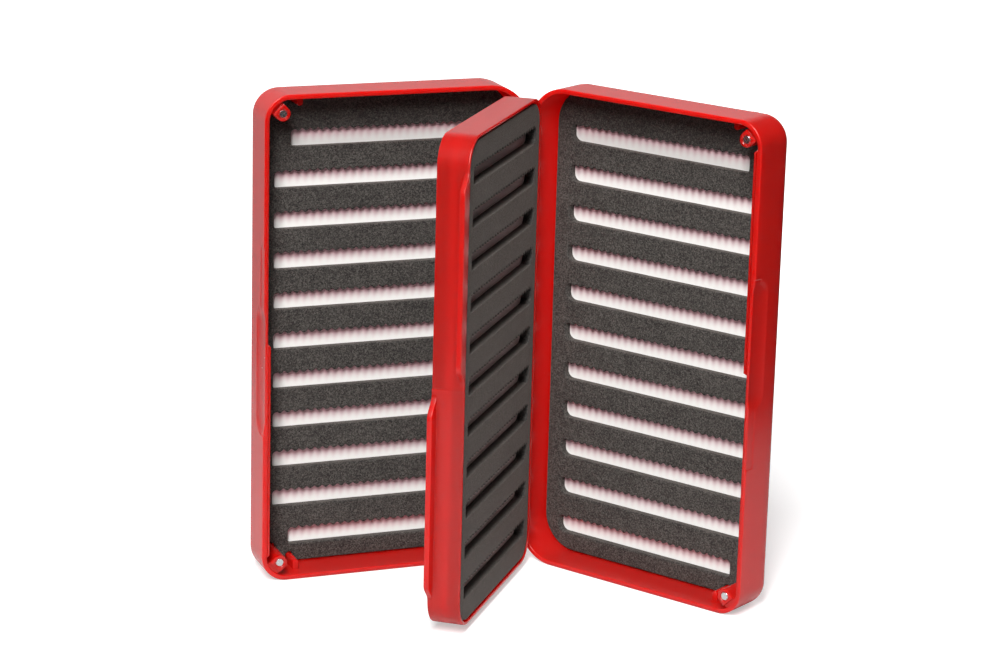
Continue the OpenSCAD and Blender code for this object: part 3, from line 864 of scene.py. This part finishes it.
common = {"Slots": pad["slots"], "Slot Height": pad["height"], "Tooth": tooth["pitch"], "Spacing": pad["spacing"]}
run = openBox["height"] - pad["height"]
shellSizes = dict(common, **{
    "First Slot": shellPad["first"], "Pitch": (run - shellPad["first"] - shellPad["last"]) / (pad["slots"] - 1),
    "Left": shellPad["left"], "Right": shellPad["right"], "Right Short": shellPad["rightShort"],
    "Round": shellPad["round"], "Hinge Round": shellPad["hingeRound"], "Thickness": shellPad["thick"],
    "Edge": shellPad["edge"], "Tooth Depth": tooth["depth"]})
leafSizes = dict(common, **{
    "First Slot": leafPad["end"], "Pitch": (run - 2 * leafPad["end"]) / (pad["slots"] - 1),
    "Left": leafPad["left"], "Right": leafPad["right"], "Right Short": leafPad["right"],
    "Round": leafPad["round"], "Hinge Round": leafPad["hingeRound"], "Thickness": leafPad["thick"],
    "Edge": leafPad["edge"], "Tooth Depth": tooth["leafDepth"]})

for name, sizes, outline, face, place, body, finish, node in (
        ("rightShellPad", shellSizes, shellPadOutline(), shellPad["face"], "rightShell", "right_shell",
         "shellFoam", "right_foam"),
        ("leftShellPad", shellSizes, shellPadOutline(), shellPad["face"], "leftUpright", "left_shell",
         "shellFoam", "left_foam"),
        ("leafRightPad", leafSizes, leafPadOutline(), leafPad["face"] - leaf["half"], "leafLeft", "leaf",
         "leafFoam", "leaf_right_foam"),
        ("leafLeftPad", leafSizes, leafPadOutline(), leafPad["face"] - leaf["half"], "leafRight", "leaf",
         "leafFoam", "leaf_left_foam")):
    slottedPad(name, outline, sizes, face, places[place], body, finish, [node])
print("foam pads made")


# the small metal pieces and the liners
magnet = {"radius": 1.5, "length": 2.0, "drop": 0.8, "edge": 0.12}


def magnetMesh(upper):
    z = openBox["height"] - boss["inset"] if upper else boss["inset"]
    r, e, n = magnet["radius"], magnet["edge"], magnet["drop"]
    mesh = spun([(r - e, 0), (r, e), (r, magnet["length"] - e), (r - e, magnet["length"])], 40)
    data = bpy.data.meshes.new("magnet")
    mesh.to_mesh(data)
    mesh.free()
    data.transform(Matrix.Translation((shell["width"] - boss["inset"], n, z)) @ Matrix.Rotation(-math.pi / 2, 4, "X"))
    return data


for side, place, body in (("right", "rightShell", "right_shell"), ("left", "leftShell", "left_shell")):
    for upper in (True, False):
        # the left shell stands on its other end, so its upper magnet is drawn as the lower one
        drawn = upper if side == "right" else not upper
        word = "upper" if upper else "lower"
        piece(f"{side}Magnet{word.title()}", magnetMesh(drawn), places[place], body, "magnet",
              [f"{side}_magnet_{word}"])

for group, body in (("upper", "left_shell"), ("lower", "right_shell")):
    z, r = knuckleStart(group, 0), hinge["pin"]
    mesh = spun([(r - 0.2, z), (r, z + 0.2), (r, z + hinge["span"] - 0.2), (r - 0.2, z + hinge["span"])], 32)
    data = bpy.data.meshes.new("pin")
    mesh.to_mesh(data)
    mesh.free()
    piece(f"hingePin{group.title()}", data, places["rightShell"], body, "pin", [f"hinge_pin_{group}"])

for name in ("left_liner", "right_liner", "leaf_left_liner", "leaf_right_liner"):
    node = frame["nodes"][name]
    node.data.materials.clear()
    # the leaf's liners take the liner painted in shade
    node.data.materials.append(finishes["leafLiner" if "leaf" in name else name.split("_")[0] + "Liner"])
print("metal pieces and liners made")

# floor, light and camera
# the table: only its middle lights and is mirrored by the box, and the rest fades to white
stage = {
    "half": 1.6, "middle": 0.31, "fadeFrom": 0.10, "fadeTo": 0.60,
    "floorColour": (0.72, 0.72, 0.72, 1), "otherColour": (0.74, 0.74, 0.74, 1), "glow": 0.45,
}


def seenRays(graph):
    # 1 for camera rays, and 1 for glossy and transmission rays
    outs = graph.node("ShaderNodeLightPath").socket.node.outputs
    seen, glossy, through = (Value(graph, outs[name])
                             for name in ("Is Camera Ray", "Is Glossy Ray", "Is Transmission Ray"))
    return seen, (glossy + through).math("MINIMUM", 1.0)


def floor():
    mesh = bmesh.new()
    half = stage["half"]
    corners = [mesh.verts.new((x, y, 0)) for x, y in ((-half, -half), (half, -half), (half, half), (-half, half))]
    mesh.faces.new(corners)
    made = asObject(mesh, "floor")
    finish = bpy.data.materials.new("paleFloor")
    finish.use_nodes = True
    finish.node_tree.nodes.clear()
    graph = Graph(finish.node_tree)
    coords = graph.node("ShaderNodeTexCoord", {}, {}, out=3)
    grain = graph.noise(coords, 3.0, 2.0)
    paint = graph.node("ShaderNodeBsdfPrincipled", {}, {
        "Base Color": graph.blend(grain, stage["floorColour"], stage["otherColour"]), "Roughness": 0.75,
        "Specular IOR Level": 0.2})
    seen, mirrored = seenRays(graph)
    split = graph.node("ShaderNodeSeparateXYZ", {}, {0: coords}).socket.node.outputs
    x, y = (Value(graph, split[k]).math("ABSOLUTE") for k in (0, 1))
    outside = x.math("MAXIMUM", y).math("GREATER_THAN", stage["middle"])
    distance = (x * x + y * y).math("SQRT")
    fade = ((distance - stage["fadeFrom"]) / (stage["fadeTo"] - stage["fadeFrom"]))
    fade = fade.math("MAXIMUM", 0.0).math("MINIMUM", 1.0)
    glow = graph.node("ShaderNodeEmission", {}, {
        "Color": (1, 1, 1, 1), "Strength": seen * (fade * (1.0 - stage["glow"]) + stage["glow"])})
    bright = graph.node("ShaderNodeAddShader", {}, {0: paint, 1: glow})
    clear = graph.node("ShaderNodeBsdfTransparent")
    whole = graph.node("ShaderNodeMixShader", {}, {0: outside * (1 - seen), 1: bright, 2: clear})
    graph.node("ShaderNodeOutputMaterial", {}, {"Surface": whole})
    made.data.materials.append(finish)


studio = {
    "room": 0.03,
    "mirrored": {"towards": (-0.035, 0.999, 0.0), "light": 0.55, "start": 0.58, "end": 0.80},
    "lit": {"towards": (0.0, 1.0, 0.0), "light": 1.90, "start": 0.42, "end": 0.87},
}


def backdrop():
    # a white screen behind the box in a dim room; the camera sees white all round
    world = bpy.data.worlds.new("studio")
    bpy.context.scene.world = world
    world.use_nodes = True
    world.node_tree.nodes.clear()
    graph = Graph(world.node_tree)
    aim = graph.node("ShaderNodeTexCoord", {}, {})

    def screen(towards, light, start, end):
        faced = graph.node("ShaderNodeVectorMath", {"operation": "DOT_PRODUCT"}, {0: aim, 1: towards}, out=1)
        share = ((faced - start) / (end - start)).math("MAXIMUM", 0.0).math("MINIMUM", 1.0)
        return share * (light - studio["room"]) + studio["room"]

    seen, mirrored = seenRays(graph)
    strength = screen(**studio["mirrored"]) * mirrored + screen(**studio["lit"]) * (1 - mirrored)
    strength = strength * (1 - seen) + seen
    sky = graph.node("ShaderNodeBackground", {}, {"Color": (1, 1, 1, 1), "Strength": strength})
    graph.node("ShaderNodeOutputWorld", {}, {"Surface": sky})


# azimuth and elevation in degrees, the rest in metres and watts
lamps = {
    "key": {"azimuth": 240.0, "elevation": 44.0, "away": 1.6, "wide": 0.35, "tall": 1.1, "power": 40.0},
}


def light(name, azimuth, elevation, away, wide, tall, power):
    data = bpy.data.lights.new(name, "AREA")
    data.shape = "RECTANGLE"
    data.size = wide
    data.size_y = tall
    data.energy = power
    made = bpy.data.objects.new(name, data)
    bpy.context.scene.collection.objects.link(made)
    a, e = math.radians(azimuth), math.radians(elevation)
    out = Vector((math.cos(e) * math.cos(a), math.cos(e) * math.sin(a), math.sin(e)))
    turn = (-out).to_track_quat("-Z", "Y").to_matrix().to_4x4()
    made.matrix_world = Matrix.Translation(Vector((0, 0, 0.09)) + out * away) @ turn


floor()
backdrop()
for name, sizes in lamps.items():
    light(name, **sizes)

# where the camera stands from the hinge line, in metres, and where it looks
view = {"away": (-0.42783, -1.06952, 0.40968), "heading": 21.348, "down": 15.449, "roll": 1.569, "lens": 110.80}


def camera():
    data = bpy.data.cameras.new("camera")
    data.sensor_width = 36
    data.lens = view["lens"]
    data.clip_start = 0.05
    made = bpy.data.objects.new("camera", data)
    bpy.context.scene.collection.objects.link(made)
    heading, down, roll = (math.radians(view[k]) for k in ("heading", "down", "roll"))
    flat = Vector((math.sin(heading), math.cos(heading), 0))
    forward = flat * math.cos(down) - Vector((0, 0, math.sin(down)))
    right = forward.cross(Vector((0, 0, 1))).normalized()
    up = right.cross(forward)
    right, up = right * math.cos(roll) + up * math.sin(roll), up * math.cos(roll) - right * math.sin(roll)
    turn = Matrix((right, up, -forward)).transposed().to_4x4()
    made.matrix_world = Matrix.Translation(openBox["hinge"] + Vector(view["away"])) @ turn
    bpy.context.scene.camera = made


camera()
bpy.context.scene.view_settings.view_transform = "Standard"
print("stage and camera set")
